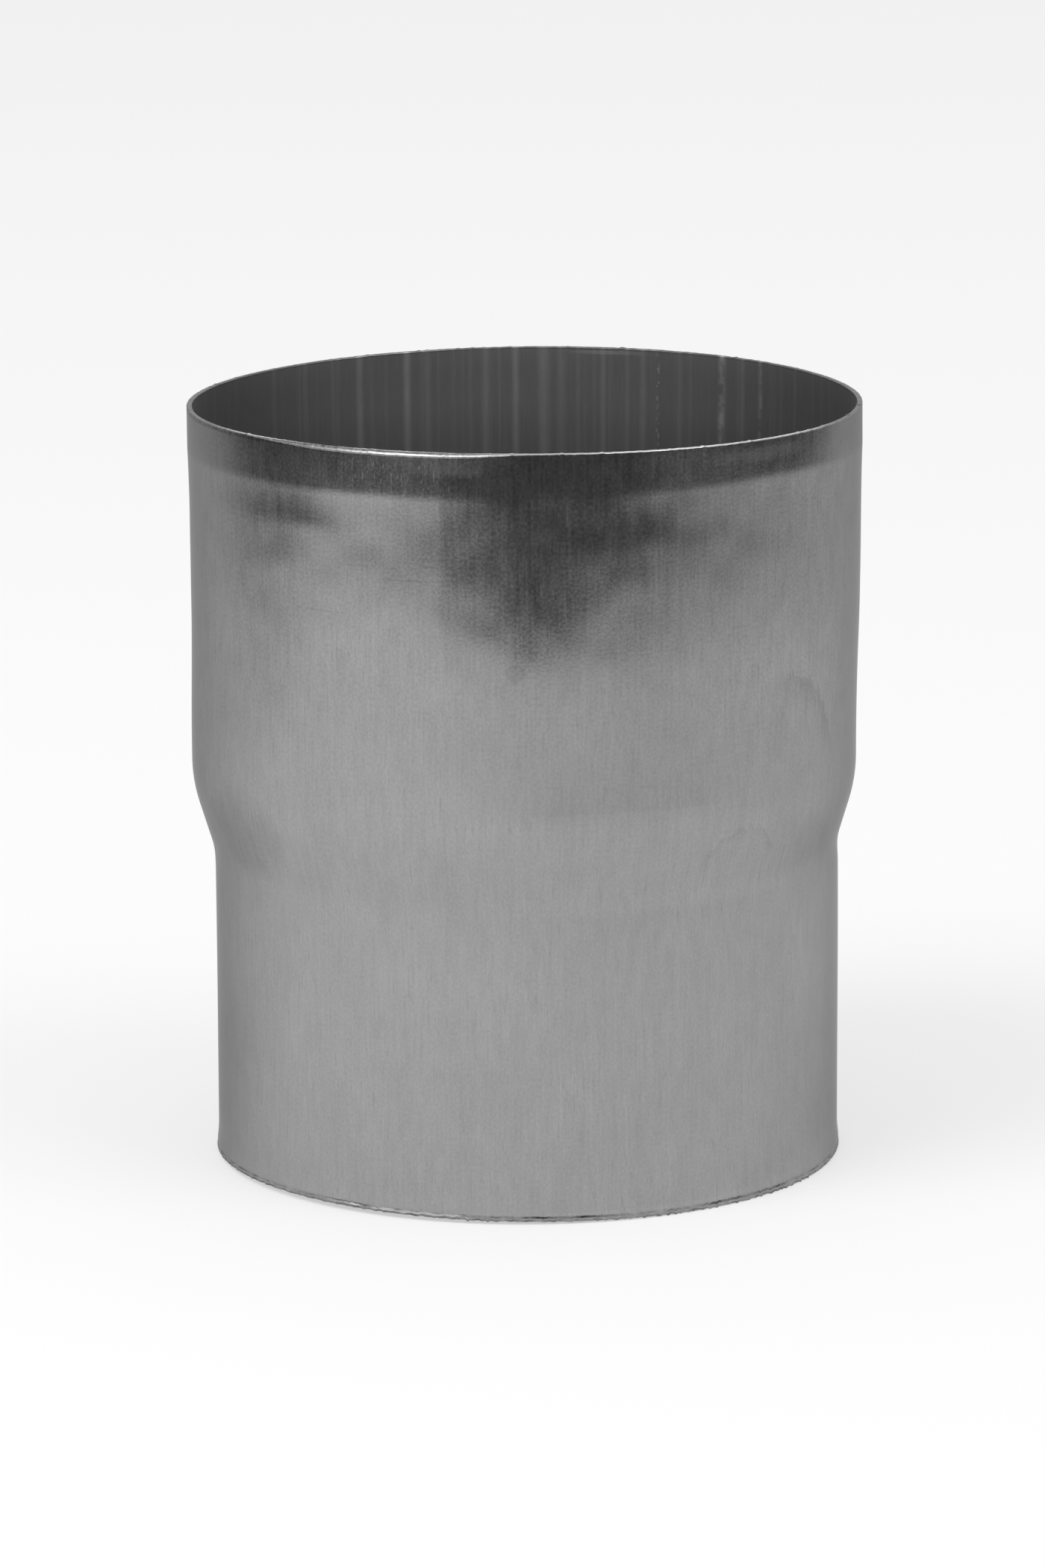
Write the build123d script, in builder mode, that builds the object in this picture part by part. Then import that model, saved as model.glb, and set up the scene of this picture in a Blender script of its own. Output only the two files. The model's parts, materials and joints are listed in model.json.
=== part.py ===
from build123d import *
from math import radians, tan
import os

# Downpipe sleeve: one thin sheet, rolled to a tube and swaged in two diameters.
# The wide upper end takes the end of one round pipe, and the narrow lower end goes into the next.
# Sizes are in millimetres. The origin is the middle of the foot, and +Z runs up the pipe.

# Pipe that the sleeve joins, and the sheet that the sleeve is made of
pipe_diameter = 80.0
pipe_wall = 0.65
sheet = 0.65

# Spigot: the lower end, which enters the pipe below. Its length runs from the foot to the shoulder.
spigot_clearance = 0.85
spigot_length = 37.5

# Lip: the sheared edge at the foot, which stands slightly proud of the spigot
lip_rise = 0.18
lip_length = 1.4
lip_run = 1.4

# Shoulder: the swaged step that stops the upper pipe
shoulder_slope = 17.0
lower_bend = 10.0
upper_bend = 18.0

# Seat: the straight bore that holds the upper pipe
seat_clearance = 0.30
seat_length = 14.0

# Mouth: widens above the seat to guide the pipe in, and ends in a straight band under the rim
mouth_rise = 0.29
mouth_run = 25.0
mouth_band = 5.3

# Cut edges of the sheet, broken on the outside at the foot and the rim
edge_break = 0.25

# Outside radii
pipe_radius = pipe_diameter / 2
spigot_radius = pipe_radius - pipe_wall - spigot_clearance
lip_radius = spigot_radius + lip_rise
seat_radius = pipe_radius + seat_clearance + sheet
mouth_radius = seat_radius + mouth_rise


def bend_reach(radius):
    """Length that a shoulder bend of this radius takes up on each side of its corner."""
    return radius * tan(radians(shoulder_slope) / 2)


# Heights of the corners, before they are bent round
lip_top = lip_length + lip_run
shoulder_low = spigot_length + bend_reach(lower_bend)
shoulder_high = shoulder_low + (seat_radius - spigot_radius) / tan(radians(shoulder_slope))
seat_high = shoulder_high + bend_reach(upper_bend) + seat_length
band_low = seat_high + mouth_run
rim = band_low + mouth_band

with BuildPart() as sleeve:
    with BuildSketch(Plane.XZ):
        with BuildLine():
            FilletPolyline(
                (lip_radius, 0),
                (lip_radius, lip_length),
                (spigot_radius, lip_top),
                (spigot_radius, shoulder_low),
                (seat_radius, shoulder_high),
                (seat_radius, seat_high),
                (mouth_radius, band_low),
                (mouth_radius, rim),
                radius=[0, 0, lower_bend, upper_bend, 0, 0],
            )
            offset(amount=sheet, side=Side.LEFT, kind=Kind.INTERSECTION)
        make_face()
        for foot_or_rim in (0, -1):
            chamfer(vertices().group_by(Axis.Y)[foot_or_rim].sort_by(Axis.X)[-1], length=edge_break)
    revolve(axis=Axis.Z)

sleeve.part.label = "sleeve"
os.makedirs("parts", exist_ok=True)
export_step(sleeve.part, "parts/sleeve.step")
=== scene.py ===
import json
import math

import bpy
import numpy as np
from mathutils import Euler, Matrix, Vector


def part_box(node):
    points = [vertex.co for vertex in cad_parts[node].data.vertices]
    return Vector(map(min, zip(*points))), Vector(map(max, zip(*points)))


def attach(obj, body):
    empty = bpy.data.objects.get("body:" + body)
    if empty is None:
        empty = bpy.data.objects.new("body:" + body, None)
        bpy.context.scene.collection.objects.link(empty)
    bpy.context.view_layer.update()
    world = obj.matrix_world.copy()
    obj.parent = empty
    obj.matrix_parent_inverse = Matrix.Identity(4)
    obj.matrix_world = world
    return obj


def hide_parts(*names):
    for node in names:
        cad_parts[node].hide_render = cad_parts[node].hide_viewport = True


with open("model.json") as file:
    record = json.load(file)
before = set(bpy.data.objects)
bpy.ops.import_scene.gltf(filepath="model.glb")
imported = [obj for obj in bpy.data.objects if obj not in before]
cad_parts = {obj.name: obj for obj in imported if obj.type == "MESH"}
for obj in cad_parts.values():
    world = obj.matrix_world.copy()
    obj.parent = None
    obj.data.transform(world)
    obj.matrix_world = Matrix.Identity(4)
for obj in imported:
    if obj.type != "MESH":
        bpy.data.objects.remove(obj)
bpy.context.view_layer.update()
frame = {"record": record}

# Sizes of the sleeve, in millimetres, read from the frame where it holds them
MM = 0.001
mounts = {mount["name"]: mount for mount in frame["record"]["mounts"]}
low_corner, high_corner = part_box("sleeve")
SEAT = mounts["socket_seat"]
SPIGOT = mounts["spigot"]
SHEET = 0.65
RIM_HEIGHT = high_corner.z / MM
SEAT_RADIUS = SEAT["dims"]["r_mm"] + SHEET
SEAT_LOW = SEAT["pos_m"][2] / MM - SEAT["dims"]["length_mm"] / 2
SEAT_HIGH = SEAT_LOW + SEAT["dims"]["length_mm"]
SPIGOT_RADIUS = SPIGOT["dims"]["r_mm"]
SPIGOT_TOP = SPIGOT["pos_m"][2] / MM + SPIGOT["dims"]["length_mm"] / 2
LIP_TOP = SPIGOT_TOP - SPIGOT["dims"]["length_mm"]
MOUTH_RADIUS = high_corner.x / MM

# Bends of the shoulder, and the lip at the foot
LOWER_BEND = 10.0
UPPER_BEND = 18.0
SHOULDER_SLOPE = math.radians(17.0)
LIP_RISE = 0.18

# Mouth: the height where its straight band begins, on the left and right of the front, the height where the
# wall starts to lean out to it, and the angles of two creases, where shoes of the forming tool met
BAND_LOW = 88.6
BAND_LOW_RIGHT = 89.3
LEAN_LOW = 80.5
CREASE = -14.0
SECOND_CREASE = -2.3

# Rim: its break on the outside, where it is widest and elsewhere, and on the inside. A row of the mesh just
# under the break keeps its shading off the wall.
RIM_EDGE_WIDEST = 0.58
RIM_EDGE = 0.08
RIM_EDGE_INSIDE = 0.12
UNDER_EDGE = 0.04

# Foot: how high its sheared edge lies, and at most, how much that waves, how far its burrs hang, and the
# height of the groove above them
FOOT_LIFT = 0.12
FOOT_HIGHEST = 0.7
FOOT_WAVE = 0.25
FOOT_BURR = 0.28
GROOVE_HEIGHT = 0.55

# Shoulder: how far it is swaged to the left of the axis
SHOULDER_SHIFT = 0.23

# Angles are degrees from the front, to the right. The weld is where the first and last columns meet.
COLUMNS = 700
WELD = 180.0 - 24.7


def smooth_step(start, end, value):
    """Rises from 0 to 1 between start and end, with no corner at either."""
    share = np.clip((value - start) / (end - start), 0.0, 1.0)
    return share * share * (3.0 - 2.0 * share)


def arc(angle, place):
    """Signed way around the wall from a place to an angle, in millimetres."""
    return np.radians((angle - place + 180.0) % 360.0 - 180.0) * SEAT_RADIUS


def uneven(angle, fewest, most, seed):
    """Uneven line around the sleeve, mostly between -1 and 1, from seeded waves of so many lobes."""
    draw = np.random.default_rng(seed)
    waves = 24
    total = np.zeros(np.shape(angle))
    for lobes, phase in zip(draw.integers(fewest, most, waves), draw.uniform(0.0, 2.0 * math.pi, waves)):
        total += np.sin(np.radians(angle) * lobes + phase)
    return total / math.sqrt(2.0 * waves)


def shoulder_radius(z):
    """Outer radius by height of the spigot, the swaged shoulder and the seat, as arcs joined by a slope."""
    sine, cosine = math.sin(SHOULDER_SLOPE), math.cos(SHOULDER_SLOPE)
    bend_top = SPIGOT_TOP + LOWER_BEND * sine
    bend_top_radius = SPIGOT_RADIUS + LOWER_BEND * (1.0 - cosine)
    slope_top = SEAT_LOW - UPPER_BEND * sine
    lower_reach = np.clip(z - SPIGOT_TOP, 0.0, LOWER_BEND * sine)
    upper_reach = np.clip(SEAT_LOW - z, 0.0, UPPER_BEND * sine)
    lower_arc = SPIGOT_RADIUS + LOWER_BEND - np.sqrt(LOWER_BEND**2 - lower_reach**2)
    upper_arc = SEAT_RADIUS - UPPER_BEND + np.sqrt(UPPER_BEND**2 - upper_reach**2)
    slope = bend_top_radius + (z - bend_top) * math.tan(SHOULDER_SLOPE)
    return np.where(z < bend_top, lower_arc, np.where(z < slope_top, slope, upper_arc))


def mouth_share(angle, z):
    """Share of the mouth's widening by height. Under the band the wall leans out, least past the creases."""
    before_first = smooth_step(-9.0, -1.0, arc(angle, CREASE))
    past_first = smooth_step(-0.9, 0.9, arc(angle, CREASE))
    past_second = smooth_step(-0.9, 0.9, arc(angle, SECOND_CREASE))
    stiffened = 0.40 * before_first + 0.22 * past_first + 0.38 * past_second
    beside = stiffened * smooth_step(38.0, 16.0, arc(angle, CREASE))
    lean = 0.50 - 0.38 * beside
    to_right = np.exp(-(arc(angle, 50.0) / 26.0) ** 2)
    to_left = np.exp(-(arc(angle, -52.0) / 8.0) ** 2)
    band_low = BAND_LOW + (BAND_LOW_RIGHT - BAND_LOW) * (to_right + 0.3 * to_left)
    leaning = np.clip((z - LEAN_LOW) / (band_low - LEAN_LOW), 0.0, 1.0) ** 2
    return 0.24 * smooth_step(58.0, 74.0, z) + 0.26 * smooth_step(64.0, 88.0, z) + lean * leaning


def ridges(angle, z):
    """Upright ridges that the shoes of the forming tool left in the socket: their place, rise and reach."""
    marks = [
        (CREASE, 0.12, 3.0),
        (SECOND_CREASE, 0.04, 3.0),
        (9.7, 0.04, 3.0),
        (20.6, 0.04, 3.0),
        (40.3, 0.05, 4.0),
    ]
    draw = np.random.default_rng(11)
    for place in np.arange(90.0, 275.0, 13.0):
        marks.append((place + draw.uniform(-4.0, 4.0), draw.uniform(0.015, 0.05), draw.uniform(2.0, 4.0)))
    total = np.zeros(np.broadcast(angle, z).shape)
    for place, rise, reach in marks:
        total += rise * np.exp(-np.abs(arc(angle, place)) / reach)
    return total * smooth_step(60.0, 70.0, z)


def shoe_slopes(angle, z):
    """Slopes of the wall that single shoes of the tool pressed: their middle, half width and slope."""
    shoes = [(4.1, 4.0, -0.003), (30.5, 7.0, 0.001)]
    run = 16.0
    total = np.zeros(np.broadcast(angle, z).shape)
    for middle, half, slope in shoes:
        total += slope * smooth_step(half + 0.9, half - 0.9, np.abs(arc(angle, middle)))
    return total * run * smooth_step(62.0, 84.0, z)


def bumps(angle, z):
    """Shallow bumps: their place, height and rise, and their reach left, right, above and below."""
    marks = [
        (-42.2, 83.4, 0.094, 8.0, 4.2, 2.2, 5.0),
        (-39.0, 84.0, 0.012, 1.8, 1.8, 0.8, 1.2),
        (-45.5, 78.6, 0.020, 2.2, 2.2, 1.2, 2.4),
        (16.5, 81.8, 0.043, 4.5, 9.0, 2.0, 5.0),
    ]
    total = np.zeros(np.broadcast(angle, z).shape)
    for place, height, rise, left, right, above, below in marks:
        away = arc(angle, place)
        sideways = np.where(away > 0.0, right, left)
        upwards = np.where(z > height, above, below)
        total += rise * np.exp(-0.5 * ((away / sideways) ** 2 + ((z - height) / upwards) ** 2))
    return total


def waviness(angle, z):
    """Slow unevenness of the formed sheet, as a few seeded waves."""
    draw = np.random.default_rng(7)
    total = np.zeros(np.broadcast(angle, z).shape)
    for _ in range(10):
        lobes = draw.integers(2, 11)
        length = draw.uniform(25.0, 90.0)
        phase, phase_up = draw.uniform(0.0, 2.0 * math.pi, 2)
        sideways = np.sin(np.radians(angle) * lobes + phase)
        total += 0.012 * sideways * np.sin(2.0 * math.pi * z / length + phase_up)
    return total


def ripples(angle, z):
    """Small unevenness of the stretched socket, as many seeded waves a few millimetres long."""
    draw = np.random.default_rng(17)
    waves = 40
    total = np.zeros(np.broadcast(angle, z).shape)
    for _ in range(waves):
        lobes = draw.integers(8, 34)
        length = draw.choice([-1.0, 1.0]) * draw.uniform(5.0, 13.0)
        total += np.sin(np.radians(angle) * lobes + 2.0 * math.pi * (z / length + draw.uniform()))
    on_socket = smooth_step(58.0, 74.0, z) * smooth_step(94.0, 88.0, z)
    return 0.0024 * total / math.sqrt(0.5 * waves) * on_socket


def burrs(angle):
    """Burrs that hang from the sheared foot, from 0 to 1: two ragged stretches, and small ones all around."""
    ragged = np.exp(-(arc(angle, -8.5) / 1.6) ** 2) + 0.8 * np.exp(-(arc(angle, 42.0) / 16.0) ** 4)
    small = np.clip(uneven(angle, 90, 300, 21), 0.0, 1.0)
    return np.clip((0.25 + ragged) * small, 0.0, 1.0)


def foot_form(angle, z):
    """The sheared foot: a shallow groove under the wall, and a burr that flares out below it."""
    groove = 0.07 + 0.06 * np.clip(uneven(angle, 4, 40, 22), -0.8, 1.0)
    flare = 0.04 + 0.16 * burrs(angle)
    return flare * smooth_step(0.45, 0.0, z) - groove * np.exp(-(((z - GROOVE_HEIGHT) / 0.16) ** 2))


def weld_bead(angle, z):
    """The narrow bead where the sheet's two edges were welded, rolled nearly flat."""
    return 0.05 * np.exp(-(arc(angle, WELD) / 0.55) ** 2) * np.ones(np.shape(z))


def wall_radius(angle, z):
    """Outer radius by angle and height."""
    formed = shoulder_radius(z) + LIP_RISE * smooth_step(LIP_TOP + 0.6, 0.4, z)
    mouth = (MOUTH_RADIUS - SEAT_RADIUS) * mouth_share(angle, z)
    marks = ridges(angle, z) + shoe_slopes(angle, z) + bumps(angle, z)
    unevenness = waviness(angle, z) + ripples(angle, z)
    return formed + mouth + marks + unevenness + weld_bead(angle, z) + foot_form(angle, z)


def rim_drop(angle):
    """How far the rim lies below its full height: it was cut a little skew, and it dips at both sides."""
    turn = np.radians(angle)
    skew = 0.06 * np.cos(turn) + 0.08 * np.sin(turn)
    dip = 0.18 * np.cos(2.0 * turn) - 0.10 * np.sin(2.0 * turn)
    bits = np.clip(uneven(angle, 80, 340, 33) - 0.6, 0.0, 1.0)
    return 0.32 - skew - dip + 0.02 * uneven(angle, 12, 300, 31) - 0.14 * bits


def edge_line(angle, z):
    """How far the cut edges leave their planes: a skew rim, and a wavy and ragged foot."""
    wave = FOOT_WAVE * (1.0 - np.sin(2.0 * np.radians(angle)))
    foot = FOOT_LIFT + wave + 0.04 * uneven(angle, 20, 200, 32) - FOOT_BURR * burrs(angle)
    at_foot = np.clip(foot, 0.0, FOOT_HIGHEST) * smooth_step(2.5, 0.0, z)
    return at_foot - rim_drop(angle) * smooth_step(78.0, RIM_HEIGHT, z)


def rim_edge(angle):
    """Break of the rim on the outside, which is widest a little left of the front."""
    beside = arc(angle, -20.0)
    reach = np.where(beside > 0.0, 11.0, 18.0)
    return RIM_EDGE + (RIM_EDGE_WIDEST - RIM_EDGE) * np.exp(-((beside / reach) ** 4))


def sheet_outline(angle):
    """Radius and height of the closed outline by angle, and how many of its rows lie outside.

    It runs up the outside, over the rim and down the inside.
    """
    # Heights of the rows up and down the wall, closer together where it bends
    up = np.concatenate([
        [0.0, 0.08, 0.16, 0.25, 0.35, 0.45, 0.55, 0.65, 0.75, 0.9, 1.2, 1.6, 2.2, 2.8, 3.4],
        np.linspace(5.0, 36.0, 9),
        np.linspace(37.0, 50.5, 24),
        np.linspace(52.0, 62.5, 6),
        np.linspace(63.7, 82.0, 20),
        np.linspace(82.6, 90.0, 16),
        np.linspace(90.8, RIM_HEIGHT - RIM_EDGE_WIDEST - 0.15, 6),
    ])[None, :]
    down = np.concatenate([
        np.linspace(RIM_HEIGHT - RIM_EDGE_INSIDE - 0.05, 62.0, 14),
        np.linspace(60.0, 36.0, 16),
        np.linspace(32.0, 0.0, 5),
    ])[None, :]
    # Both breaks of the rim are rounded out by their crowns
    rim = wall_radius(angle, np.array([[RIM_HEIGHT]]))
    edge = rim_edge(angle)
    share = np.linspace(0.0, 1.0, 6)[None, :]
    crown = 0.14 * np.sin(math.pi * share)
    back = np.linspace(1.0, 0.0, 4)[None, :]
    back_crown = 0.18 * np.sin(math.pi * back)
    thickness = SHEET * np.sqrt(1.0 + np.gradient(shoulder_radius(down[0]), down[0]) ** 2)[None, :]

    radius = np.hstack([
        wall_radius(angle, up),
        rim,
        rim - edge * (share - crown),
        rim - SHEET + RIM_EDGE_INSIDE * (back - back_crown),
        wall_radius(angle, down) - thickness,
    ])
    rows = np.ones_like(angle)
    height = np.hstack([
        rows * up,
        RIM_HEIGHT - edge - UNDER_EDGE,
        RIM_HEIGHT - edge * (1.0 - share - crown),
        rows * (RIM_HEIGHT - RIM_EDGE_INSIDE * (1.0 - back - back_crown)),
        rows * down,
    ])
    return radius, height, up.size + 1 + share.size


def sleeve_mesh():
    """The sleeve as one closed mesh. Its map "sheet" is in millimetres: around from the front, and up."""
    step = 360.0 / COLUMNS
    angle = (WELD - 360.0 + np.arange(COLUMNS) * step)[:, None]
    radius, level, outside_rows = sheet_outline(angle)
    rows = radius.shape[1]
    shift = SHOULDER_SHIFT * smooth_step(36.0, 41.0, level) * smooth_step(70.0, 52.0, level)
    x = radius * np.sin(np.radians(angle)) - shift
    y = -radius * np.cos(np.radians(angle))
    z = level + edge_line(angle, level)
    places = np.stack([x, y, z], axis=-1).reshape(-1, 3) * MM

    column, row = np.meshgrid(np.arange(COLUMNS), np.arange(rows), indexing="ij")
    next_column, next_row = (column + 1) % COLUMNS, (row + 1) % rows
    corners = [(column, row), (next_column, row), (next_column, next_row), (column, next_row)]
    faces = np.stack([i * rows + j for i, j in corners], axis=-1).reshape(-1, 4)

    mesh = bpy.data.meshes.new("sleeve_sheet")
    mesh.from_pydata(places.tolist(), [], faces.tolist())
    around = np.radians(WELD - 360.0 + np.arange(COLUMNS + 1) * step) * SEAT_RADIUS
    u = np.stack([around[column], around[column + 1], around[column + 1], around[column]], axis=-1)
    v = np.stack([level[i, j] for i, j in corners], axis=-1)
    layer = mesh.uv_layers.new(name="sheet")
    layer.data.foreach_set("uv", np.stack([u, v], axis=-1).reshape(-1))
    mesh.polygons.foreach_set("use_smooth", np.ones(len(faces), bool))
    mesh.polygons.foreach_set("material_index", (row >= outside_rows - 1).astype(int).reshape(-1))
    mesh.update()
    return mesh


class SheetMaterial:
    """Short calls for one metal's nodes. Places and sizes on the sheet are in millimetres."""

    def __init__(self, name):
        self.material = bpy.data.materials.new(name)
        self.material.use_nodes = True
        self.tree = self.material.node_tree
        self.tree.nodes.clear()
        self.map = self.add("ShaderNodeUVMap", uv_map="sheet").outputs["UV"]
        split = self.add("ShaderNodeSeparateXYZ")
        self.tree.links.new(self.map, split.inputs["Vector"])
        self.around, self.up = split.outputs["X"], split.outputs["Y"]

    def add(self, kind, **settings):
        node = self.tree.nodes.new(kind)
        for name, value in settings.items():
            setattr(node, name, value)
        return node

    def put(self, socket, value):
        """Links a socket to an input, or sets the input to a number."""
        if isinstance(value, bpy.types.NodeSocket):
            self.tree.links.new(value, socket)
        else:
            socket.default_value = value

    def math(self, operation, *values):
        node = self.add("ShaderNodeMath", operation=operation)
        for socket, value in zip(node.inputs, values):
            self.put(socket, value)
        return node.outputs["Value"]

    def total(self, *values):
        """Adds values up."""
        result = values[0]
        for value in values[1:]:
            result = self.math("ADD", result, value)
        return result

    def product(self, *values):
        """Multiplies values."""
        result = values[0]
        for value in values[1:]:
            result = self.math("MULTIPLY", result, value)
        return result

    def between(self, value, low, high):
        """0 at low, 1 at high, and smooth between them. High may be the smaller of the two."""
        node = self.add("ShaderNodeMapRange", interpolation_type="SMOOTHSTEP")
        self.put(node.inputs["Value"], value)
        ends = (low, high, 0.0, 1.0) if low < high else (high, low, 1.0, 0.0)
        for name, end in zip(("From Min", "From Max", "To Min", "To Max"), ends):
            node.inputs[name].default_value = end
        return node.outputs["Result"]

    def noise(self, wide, tall, seed, detail=2.0):
        """Noise about 0, mostly within 0.5 of it, in marks so wide and tall."""
        place = self.add("ShaderNodeVectorMath", operation="MULTIPLY_ADD")
        self.tree.links.new(self.map, place.inputs[0])
        place.inputs[1].default_value = (1.0 / wide, 1.0 / tall, 0.0)
        place.inputs[2].default_value = (37.0 * seed, 53.0 * seed, 0.0)
        node = self.add("ShaderNodeTexNoise", noise_dimensions="2D")
        node.inputs["Scale"].default_value = 1.0
        node.inputs["Detail"].default_value = detail
        self.tree.links.new(place.outputs["Vector"], node.inputs["Vector"])
        return self.math("SUBTRACT", node.outputs["Fac"], 0.5)

    def place(self, angle):
        """Way around the map to an angle. The map runs around once, from the weld to the weld."""
        return math.radians(angle if angle <= WELD else angle - 360.0) * SEAT_RADIUS

    def spot(self, angle, height, wide, tall, ragged=0.0):
        """1 at a place, falling to 0 at an ellipse so wide and tall, whose edge noise may break."""
        x = self.math("DIVIDE", self.math("SUBTRACT", self.around, self.place(angle)), wide)
        y = self.math("DIVIDE", self.math("SUBTRACT", self.up, height), tall)
        reach = self.total(self.product(x, x), self.product(y, y))
        return self.math("SUBTRACT", 1.0, self.total(reach, ragged))

    def tide_mark(self, angle, height, wide, tall, ragged):
        """1 just inside the edge of an ellipse, where a dried stain is darkest, fading to its middle."""
        inside = self.spot(angle, height, wide, tall, ragged)
        return self.product(self.between(inside, 0.0, 0.08), self.between(inside, 0.45, 0.05))

    def upright(self, angle, wide):
        """1 on an upright line at an angle, and 0 from so far beside it."""
        away = self.math("SUBTRACT", self.around, self.place(angle))
        return self.between(self.math("ABSOLUTE", away), wide, 0.0)

    def scaled(self, value, factor):
        return self.math("MULTIPLY", value, factor)

    def finish(self, shader, colour, roughness, height=None, depth=0.0):
        """Links the sockets that vary over the sheet to the shader, and the shader to the output."""
        self.put(shader.inputs["Base Color"], colour)
        self.put(shader.inputs["Roughness"], roughness)
        if height is not None:
            bump = self.add("ShaderNodeBump")
            bump.inputs["Strength"].default_value = 1.0
            bump.inputs["Distance"].default_value = depth * MM
            self.put(bump.inputs["Height"], height)
            self.put(shader.inputs["Normal"], bump.outputs["Normal"])
        output = self.add("ShaderNodeOutputMaterial")
        self.tree.links.new(shader.outputs["BSDF"], output.inputs["Surface"])
        return self.material


def stains_and_shoulder_shade(sheet):
    """Edges of dried water on the right, a few spots, and painted shade on the left at the shoulder: how much
    darker they are.
    """
    ragged = sheet.scaled(sheet.noise(1.0, 2.5, 6), 0.5)
    tongue = sheet.product(
        sheet.tide_mark(50.0, 47.5, 12.0, 17.3, ragged),
        sheet.between(sheet.up, 52.0, 58.0),
        sheet.between(sheet.around, 33.0, 37.0),
    )
    ring = sheet.product(sheet.tide_mark(40.5, 41.0, 6.5, 6.0, ragged), sheet.between(sheet.up, 41.0, 44.0))
    tide = sheet.product(
        sheet.between(sheet.up, 50.2, 50.9),
        sheet.between(sheet.up, 59.0, 51.0),
        sheet.between(sheet.around, -3.0, 6.0),
        sheet.between(sheet.around, 29.0, 20.0),
    )
    return sheet.total(
        sheet.scaled(tongue, 0.14),
        sheet.scaled(ring, 0.08),
        sheet.scaled(tide, 0.07),
        sheet.scaled(sheet.between(sheet.spot(-1.7, 67.7, 1.3, 1.3, ragged), 0.0, 0.5), 0.10),
        sheet.scaled(sheet.between(sheet.spot(47.5, 57.5, 2.6, 4.5, ragged), 0.0, 0.8), 0.05),
        # Painted shade: a broad dark patch on the left at the shoulder
        sheet.scaled(sheet.between(sheet.spot(-58.0, 44.5, 10.0, 6.5, ragged), 0.0, 0.9), 0.10),
    )


def foot_tones(sheet):
    """Tones of the sheared foot: painted shade in its groove and on its cut edge, uneven burrs, and a few
    painted glints.
    """
    # Painted shade: the groove above the burrs is darkened, most at two places and in patches
    off_groove = sheet.math("ABSOLUTE", sheet.math("SUBTRACT", sheet.up, GROOVE_HEIGHT))
    darkest_groove_shade = sheet.total(
        sheet.between(sheet.spot(7.0, GROOVE_HEIGHT, 8.0, 2.0), 0.0, 0.8),
        sheet.scaled(sheet.between(sheet.spot(42.0, GROOVE_HEIGHT, 10.0, 2.0), 0.0, 0.8), 0.7),
    )
    patchy = sheet.between(sheet.noise(3.0, 40.0, 8, 4.0), -0.15, 0.2)
    groove_shade = sheet.product(
        sheet.between(off_groove, 0.22, 0.08),
        sheet.total(sheet.scaled(darkest_groove_shade, 0.5), sheet.scaled(patchy, 0.7)),
    )
    burr = sheet.product(sheet.between(sheet.up, 0.40, 0.25), sheet.noise(1.2, 0.3, 9))
    # Painted shade: the cut edge at the very bottom is darkened
    cut_edge_shading = sheet.between(sheet.up, 0.30, 0.12)
    # Painted highlights: a few glints on the burrs a little left of the front
    broken = sheet.scaled(sheet.noise(1.4, 0.3, 20), 3.0)
    glints = sheet.between(sheet.spot(-22.0, 0.42, 9.5, 0.22, broken), 0.2, 0.6)
    return sheet.total(
        sheet.scaled(groove_shade, -0.75),
        sheet.scaled(burr, 1.2),
        sheet.scaled(cut_edge_shading, -0.35),
        sheet.scaled(glints, 0.7),
    )


def rim_clouds(sheet):
    """Dull clouds in the band under the rim, left and right of the front."""
    cloudy = sheet.scaled(sheet.noise(5.0, 2.0, 10, 1.0), 0.8)
    return sheet.total(
        sheet.scaled(sheet.between(sheet.spot(-13.0, 92.5, 9.0, 2.0, cloudy), 0.0, 2.5), 1.8),
        sheet.scaled(sheet.between(sheet.spot(43.0, 92.3, 11.0, 1.3, cloudy), 0.0, 2.5), 2.2),
        sheet.scaled(sheet.between(sheet.spot(25.0, 92.6, 9.0, 1.8, cloudy), 0.0, 2.5), 0.5),
    )


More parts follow.
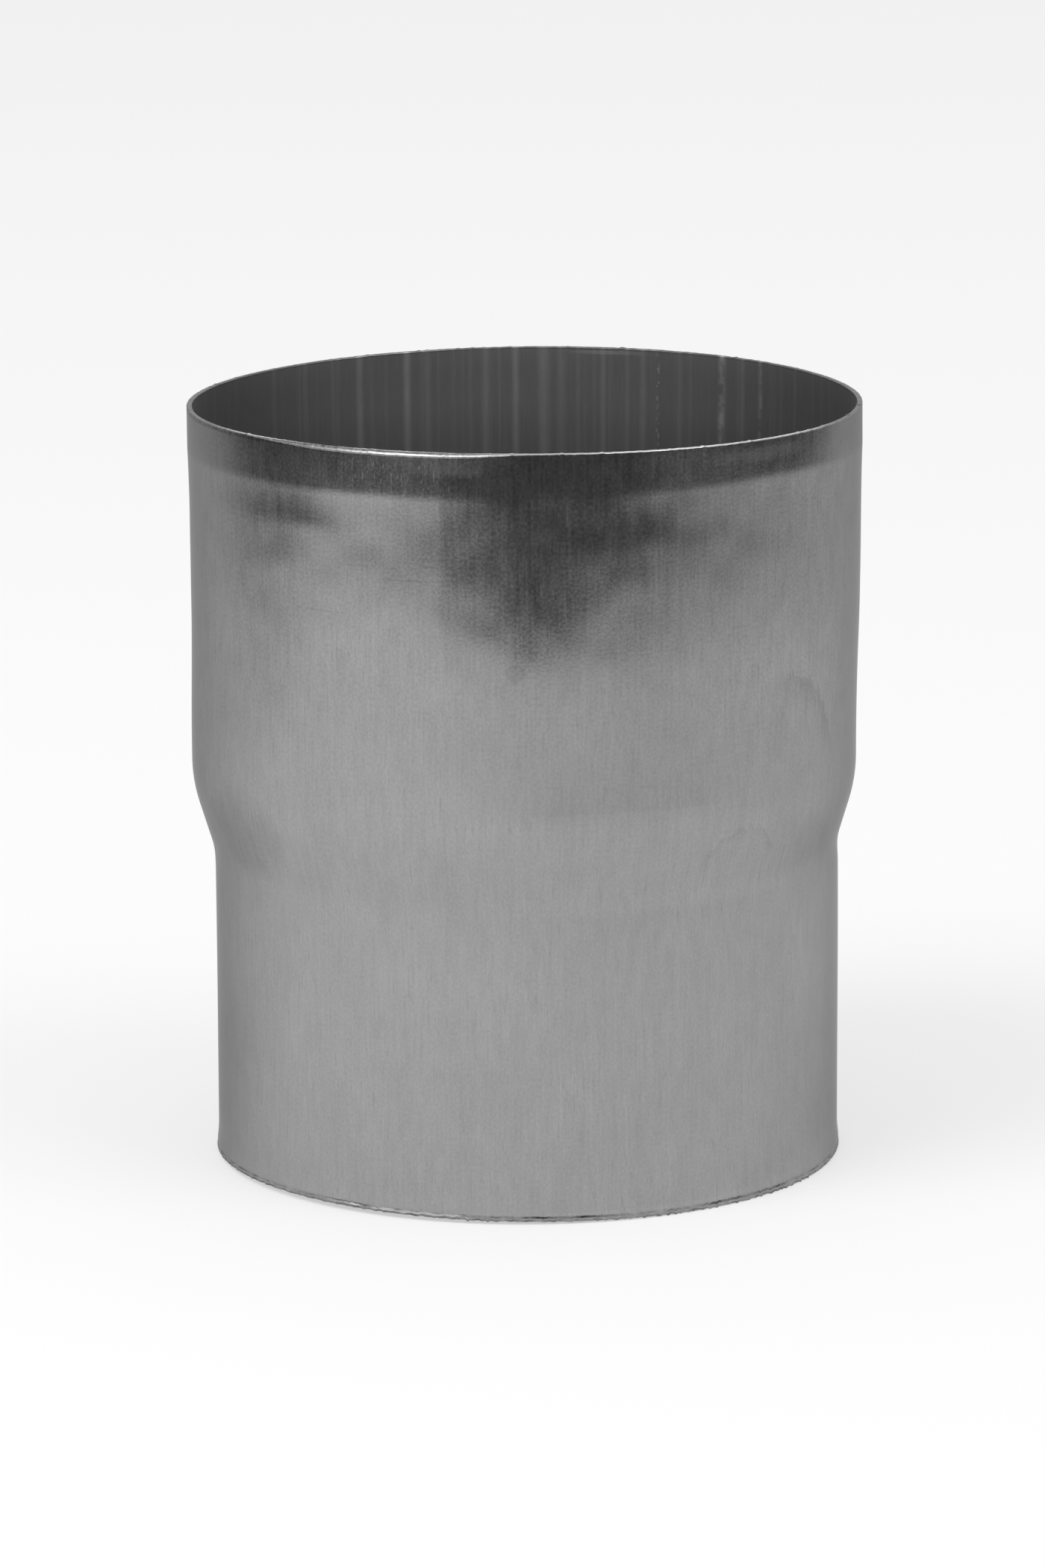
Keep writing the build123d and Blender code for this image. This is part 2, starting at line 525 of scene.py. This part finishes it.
def rolled_zinc():
    """Outside: satin zinc, mirror-like up the sheet and spread around it by the rolling grain."""
    sheet = SheetMaterial("rolled_zinc")
    shader = sheet.add("ShaderNodeBsdfPrincipled")
    shader.inputs["Metallic"].default_value = 1.0
    shader.inputs["Anisotropic"].default_value = 0.95
    shader.inputs["Specular Tint"].default_value = (0.52, 0.52, 0.52, 1.0)
    tangent = sheet.add("ShaderNodeTangent", direction_type="RADIAL", axis="Z")
    sheet.put(shader.inputs["Tangent"], tangent.outputs["Tangent"])

    # Grain of the rolled sheet, which is stronger where the socket was stretched
    grain = sheet.noise(0.36, 9.0, 1, 1.0)
    peel = sheet.noise(0.34, 0.42, 7, 1.0)
    drift = sheet.noise(1.5, 3.2, 2, 1.0)
    mottle = sheet.noise(6.0, 11.0, 3)
    flecks = sheet.between(sheet.total(sheet.noise(0.30, 3.2, 4), sheet.scaled(mottle, 0.35)), 0.14, 0.30)
    stretched = sheet.total(1.0, sheet.scaled(sheet.between(sheet.up, 40.0, 88.0), 1.2))
    fine = sheet.total(sheet.scaled(grain, 0.12), sheet.scaled(peel, 0.20), sheet.scaled(drift, 0.11))

    # Marks of making and handling, and painted light on the lower right
    worn = sheet.product(sheet.upright(CREASE, 0.9), sheet.between(sheet.up, 66.0, 74.0))
    specks = sheet.product(worn, sheet.between(sheet.noise(0.2, 0.5, 5), -0.05, 0.2))
    scratches = sheet.total(
        sheet.between(sheet.spot(-20.0, 78.5, 4.6, 0.12, peel), 0.0, 0.6),
        sheet.between(sheet.spot(-36.0, 74.0, 4.6, 0.10, peel), 0.0, 0.6),
    )
    rubbed = sheet.between(sheet.spot(-22.5, 90.4, 8.8, 4.0), 0.0, 0.5)
    dashes = sheet.product(rubbed, sheet.between(sheet.noise(0.22, 1.5, 15, 1.0), 0.13, 0.26))
    weld = sheet.total(sheet.upright(WELD, 0.6), sheet.upright(WELD - 360.0, 0.6))
    # Painted light: the lower right of the wall is made a little lighter
    painted_right_light = sheet.product(sheet.between(sheet.around, 36.0, 48.0), sheet.between(sheet.up, 44.0, 28.0))
    rim_bits = sheet.product(
        sheet.between(sheet.up, RIM_HEIGHT - 0.6, RIM_HEIGHT - 0.4),
        sheet.between(sheet.around, -4.0, -11.0),
        sheet.math("SUBTRACT", sheet.noise(0.6, 0.2, 18), 0.28),
    )

    tone = sheet.total(
        1.0,
        sheet.product(fine, stretched),
        sheet.scaled(mottle, 0.14),
        sheet.scaled(flecks, -0.10),
        sheet.scaled(specks, 0.14),
        sheet.scaled(scratches, -0.12),
        sheet.scaled(dashes, 0.28),
        sheet.scaled(weld, -0.10),
        sheet.scaled(painted_right_light, 0.12),
        sheet.scaled(stains_and_shoulder_shade(sheet), -1.0),
        foot_tones(sheet),
        rim_bits,
    )
    roughness = sheet.total(
        0.20,
        sheet.scaled(grain, 0.05),
        sheet.scaled(peel, 0.06),
        sheet.scaled(drift, 0.05),
        sheet.scaled(mottle, 0.03),
        sheet.scaled(specks, 0.05),
        sheet.scaled(rim_clouds(sheet), 0.15),
        sheet.scaled(dashes, 0.11),
        sheet.scaled(weld, 0.06),
    )
    height = sheet.total(grain, sheet.scaled(peel, 0.5))
    return sheet.finish(shader, sheet.scaled(tone, 0.34), roughness, height, 0.004)


# Upright rub marks on the inside: their angle, half their width and how much lighter they are
RUBS = [
    (123.5, 0.5, 0.12), (137.3, 0.6, 0.20), (151.0, 0.7, 0.12),
    (158.2, 0.7, 0.20), (161.2, 0.5, 0.16), (165.7, 0.6, 0.20),
    (170.3, 0.5, 0.12), (173.3, 0.9, 0.14), (176.4, 1.1, 0.25),
    (-178.4, 0.7, 0.34), (-173.0, 0.9, 0.18), (-170.2, 0.5, 0.10),
    (-162.3, 0.7, 0.18), (-158.4, 0.8, 0.42), (-149.0, 0.8, 0.36),
    (-143.4, 0.5, 0.11), (-137.1, 0.7, 0.09), (-129.2, 0.7, 0.11),
]
BROKEN_RUBS = [(142.1, 0.8, 1.1), (133.0, 0.6, 0.7)]


def rub_marks(sheet, rubs):
    """How much lighter a list of rub marks makes the sheet."""
    return sheet.total(*[sheet.scaled(sheet.upright(angle, wide), rise) for angle, wide, rise in rubs])


def dull_zinc():
    """Inside: the same sheet left dull, with upright rub marks, the weld's row of bright dots and painted
    light on the rim's top.
    """
    sheet = SheetMaterial("dull_zinc")
    shader = sheet.add("ShaderNodeBsdfPrincipled")
    shader.inputs["Metallic"].default_value = 0.9
    shader.inputs["Specular IOR Level"].default_value = 0.3
    grain = sheet.noise(0.3, 3.0, 11)
    streaks = sheet.between(sheet.noise(0.8, 60.0, 12, 1.0), 0.0, 0.45)
    patches = sheet.total(sheet.noise(3.0, 4.0, 13), sheet.scaled(sheet.noise(1.2, 1.0, 16), 0.5))
    rubbed = sheet.total(
        sheet.product(rub_marks(sheet, RUBS), sheet.total(1.35, sheet.noise(2.0, 2.5, 17))),
        sheet.product(rub_marks(sheet, BROKEN_RUBS), sheet.between(patches, -0.2, 0.2)),
    )
    under_rim = sheet.spot(164.5, RIM_HEIGHT - 0.6, 6.6, 0.35, sheet.noise(2.0, 0.4, 19))
    weld_side = sheet.total(sheet.upright(WELD, 0.35), sheet.upright(WELD - 360.0, 0.35))
    dots = sheet.product(weld_side, sheet.between(sheet.noise(2.0, 0.7, 14), 0.02, 0.18))
    # Painted light on the rim's top: it is made darker all round, and much lighter at the front as a painted
    # highlight
    cut_edge_shading = sheet.between(sheet.up, RIM_HEIGHT - 0.3, RIM_HEIGHT - 0.15)
    in_front = sheet.between(sheet.math("ABSOLUTE", sheet.around), 48.0, 34.0)
    tone = sheet.total(
        1.0,
        sheet.scaled(grain, 0.15),
        sheet.scaled(streaks, 0.2),
        rubbed,
        sheet.scaled(sheet.between(under_rim, 0.0, 1.0), 0.5),
        sheet.scaled(dots, 0.9),
        sheet.scaled(cut_edge_shading, -0.5),
        sheet.scaled(sheet.product(cut_edge_shading, in_front), 2.7),
    )
    return sheet.finish(shader, sheet.scaled(tone, 0.240), 0.36, grain, 0.003)


def plain_material(name, shade, glow=0.0):
    """An even matt grey, which may glow a little."""
    material = bpy.data.materials.new(name)
    material.use_nodes = True
    shader = material.node_tree.nodes["Principled BSDF"]
    shader.inputs["Base Color"].default_value = (shade, shade, shade, 1.0)
    shader.inputs["Roughness"].default_value = 1.0
    shader.inputs["Specular IOR Level"].default_value = 0.0
    shader.inputs["Emission Color"].default_value = (1.0, 1.0, 1.0, 1.0)
    shader.inputs["Emission Strength"].default_value = glow
    return material


def link(name, data):
    """Puts a mesh, light or camera into the scene as an object."""
    thing = bpy.data.objects.new(name, data)
    bpy.context.scene.collection.objects.link(thing)
    return thing


# The sleeve
sleeve = link("sleeve_sheet", sleeve_mesh())
sleeve.data.materials.append(rolled_zinc())
sleeve.data.materials.append(dull_zinc())
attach(sleeve, "root")
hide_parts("sleeve")

# Floor: a pale lit table
FLOOR_HALF = 8.0
floor_mesh = bpy.data.meshes.new("floor")
floor_signs = [(-1, -1), (1, -1), (1, 1), (-1, 1)]
floor_places = [(FLOOR_HALF * x, FLOOR_HALF * y, 0.0) for x, y in floor_signs]
floor_mesh.from_pydata(floor_places, [], [(0, 1, 2, 3)])
floor = link("floor", floor_mesh)
floor_mesh.materials.append(plain_material("pale_floor", shade=0.45, glow=0.46))

# Dark card around the lit part of the floor, for reflections. For some turns from the front to the right,
# its middle grey lies at this distance, it fades from clear to dark over this far to each side of that, and
# it is so dark at most.
CARD_FADE = [
    (-180.0, 0.600, 0.200, 0.30),
    (-148.0, 0.540, 0.180, 0.12),
    (-126.0, 0.480, 0.160, 0.45),
    (-104.0, 0.415, 0.140, 1.00),
    (-84.0, 0.420, 0.130, 1.00),
    (-66.0, 0.484, 0.090, 1.00),
    (-40.0, 0.476, 0.095, 1.00),
    (-24.0, 0.434, 0.080, 1.00),
    (-12.0, 0.394, 0.055, 1.00),
    (-3.0, 0.357, 0.030, 1.00),
    (6.0, 0.361, 0.036, 1.00),
    (18.0, 0.382, 0.062, 1.00),
    (36.0, 0.370, 0.108, 1.00),
    (60.0, 0.435, 0.170, 1.00),
    (82.0, 0.465, 0.220, 1.00),
    (98.0, 0.490, 0.240, 1.00),
    (112.0, 0.510, 0.240, 1.00),
    (124.0, 0.530, 0.240, 0.35),
    (136.0, 0.540, 0.240, 0.12),
    (148.0, 0.560, 0.220, 0.12),
    (180.0, 0.600, 0.200, 0.30),
]
CARD_HEIGHT = 0.0005


def card_mesh(columns=180):
    """A flat ring with the attribute "dark", from 0 where it is clear to 1 where it is dark."""
    turn = np.linspace(-180.0, 180.0, columns, endpoint=False)[:, None]
    reach = np.concatenate([np.linspace(0.045, 0.675, 43), [1.0, 3.0]])[None, :]
    turns, middles, fades, darkest = zip(*CARD_FADE)
    middle, fade = np.interp(turn, turns, middles), np.interp(turn, turns, fades)
    near = smooth_step(middle - fade, middle + fade, reach)
    far = smooth_step(0.46, 0.55, reach)
    right_haze = (0.07 + 0.08 * smooth_step(0.10, 0.34, reach)) * smooth_step(-35.0, 30.0, turn)
    left_haze = 0.10 * smooth_step(-80.0, -110.0, turn) * smooth_step(-175.0, -150.0, turn)
    haze = right_haze * smooth_step(125.0, 80.0, turn) + left_haze
    dark = np.maximum(np.interp(turn, turns, darkest) * np.maximum(near, far), haze)
    x, y = reach * np.sin(np.radians(turn)), -reach * np.cos(np.radians(turn))
    places = np.stack([x, y, np.full_like(x, CARD_HEIGHT)], axis=-1).reshape(-1, 3)
    rows = reach.size
    faces = []
    for column in range(columns):
        this, following = column * rows, (column + 1) % columns * rows
        faces += [(this + j, this + j + 1, following + j + 1, following + j) for j in range(rows - 1)]
    mesh = bpy.data.meshes.new("dark_card")
    mesh.from_pydata(places.tolist(), [], faces)
    mesh.attributes.new("dark", "FLOAT", "POINT").data.foreach_set("value", dark.reshape(-1))
    return mesh


def card_material(shade=0.062):
    """Matt dark card where the attribute "dark" is 1, and nothing where it is 0."""
    material = plain_material("dark_card", shade)
    tree = material.node_tree
    dark = tree.nodes.new("ShaderNodeAttribute")
    dark.attribute_name = "dark"
    tree.links.new(dark.outputs["Fac"], tree.nodes["Principled BSDF"].inputs["Alpha"])
    return material


card = link("dark_card", card_mesh())
card.data.materials.append(card_material())
card.visible_camera = False
card.visible_diffuse = False
card.visible_shadow = False
card.visible_transmission = False


def soft_box(name, azimuth, elevation, distance, size, power):
    """A square area light that faces the sleeve. Azimuth is from the camera's side, to the right."""
    light = bpy.data.lights.new(name, "AREA")
    light.shape = "SQUARE"
    light.size = size
    light.energy = power
    lamp = link(name, light)
    turn, rise = math.radians(azimuth), math.radians(elevation)
    aim = Vector((0.0, 0.0, 0.05))
    lamp.location = aim + distance * Vector((
        math.sin(turn) * math.cos(rise),
        -math.cos(turn) * math.cos(rise),
        math.sin(rise),
    ))
    lamp.rotation_euler = (aim - lamp.location).to_track_quat("-Z", "Y").to_euler()
    return lamp


# Lights: a large box on each side, and a small one nearer on each side
soft_box("left_box", azimuth=-46.0, elevation=52.0, distance=2.5, size=1.3, power=12.0)
soft_box("left_glow", azimuth=-52.0, elevation=50.0, distance=0.75, size=0.35, power=1.1)
soft_box("right_box", azimuth=56.0, elevation=52.0, distance=2.5, size=1.3, power=11.2)
rim_glow = soft_box("rim_glow", azimuth=68.0, elevation=54.0, distance=0.75, size=0.35, power=2.2)
rim_glow.visible_diffuse = False

# White surroundings
world = bpy.data.worlds.new("studio")
world.use_nodes = True
world.node_tree.nodes["Background"].inputs["Color"].default_value = (1.0, 1.0, 1.0, 1.0)
world.node_tree.nodes["Background"].inputs["Strength"].default_value = 0.8
bpy.context.scene.world = world
bpy.context.scene.view_settings.view_transform = "Standard"

# Camera, at the photograph's viewing angle: its angles are degrees down from level, to the left and of roll
IMAGE_HEIGHT_PX = 2100
FOCAL_PX = 10013.6
SENSOR_MM = 36.0
CAMERA_PLACE = (0.0003, -0.9025, 0.24175)
CAMERA_DOWN = 12.2611
CAMERA_LEFT = 0.0492
CAMERA_ROLL = -0.295
camera_data = bpy.data.cameras.new("camera")
camera_data.sensor_width = SENSOR_MM
camera_data.lens = FOCAL_PX / IMAGE_HEIGHT_PX * SENSOR_MM
camera = link("camera", camera_data)
camera.location = CAMERA_PLACE
facing = Euler((math.radians(90.0 - CAMERA_DOWN), 0.0, math.radians(CAMERA_LEFT))).to_matrix()
camera.rotation_euler = (facing @ Matrix.Rotation(math.radians(CAMERA_ROLL), 3, "Z")).to_euler()
bpy.context.scene.camera = camera
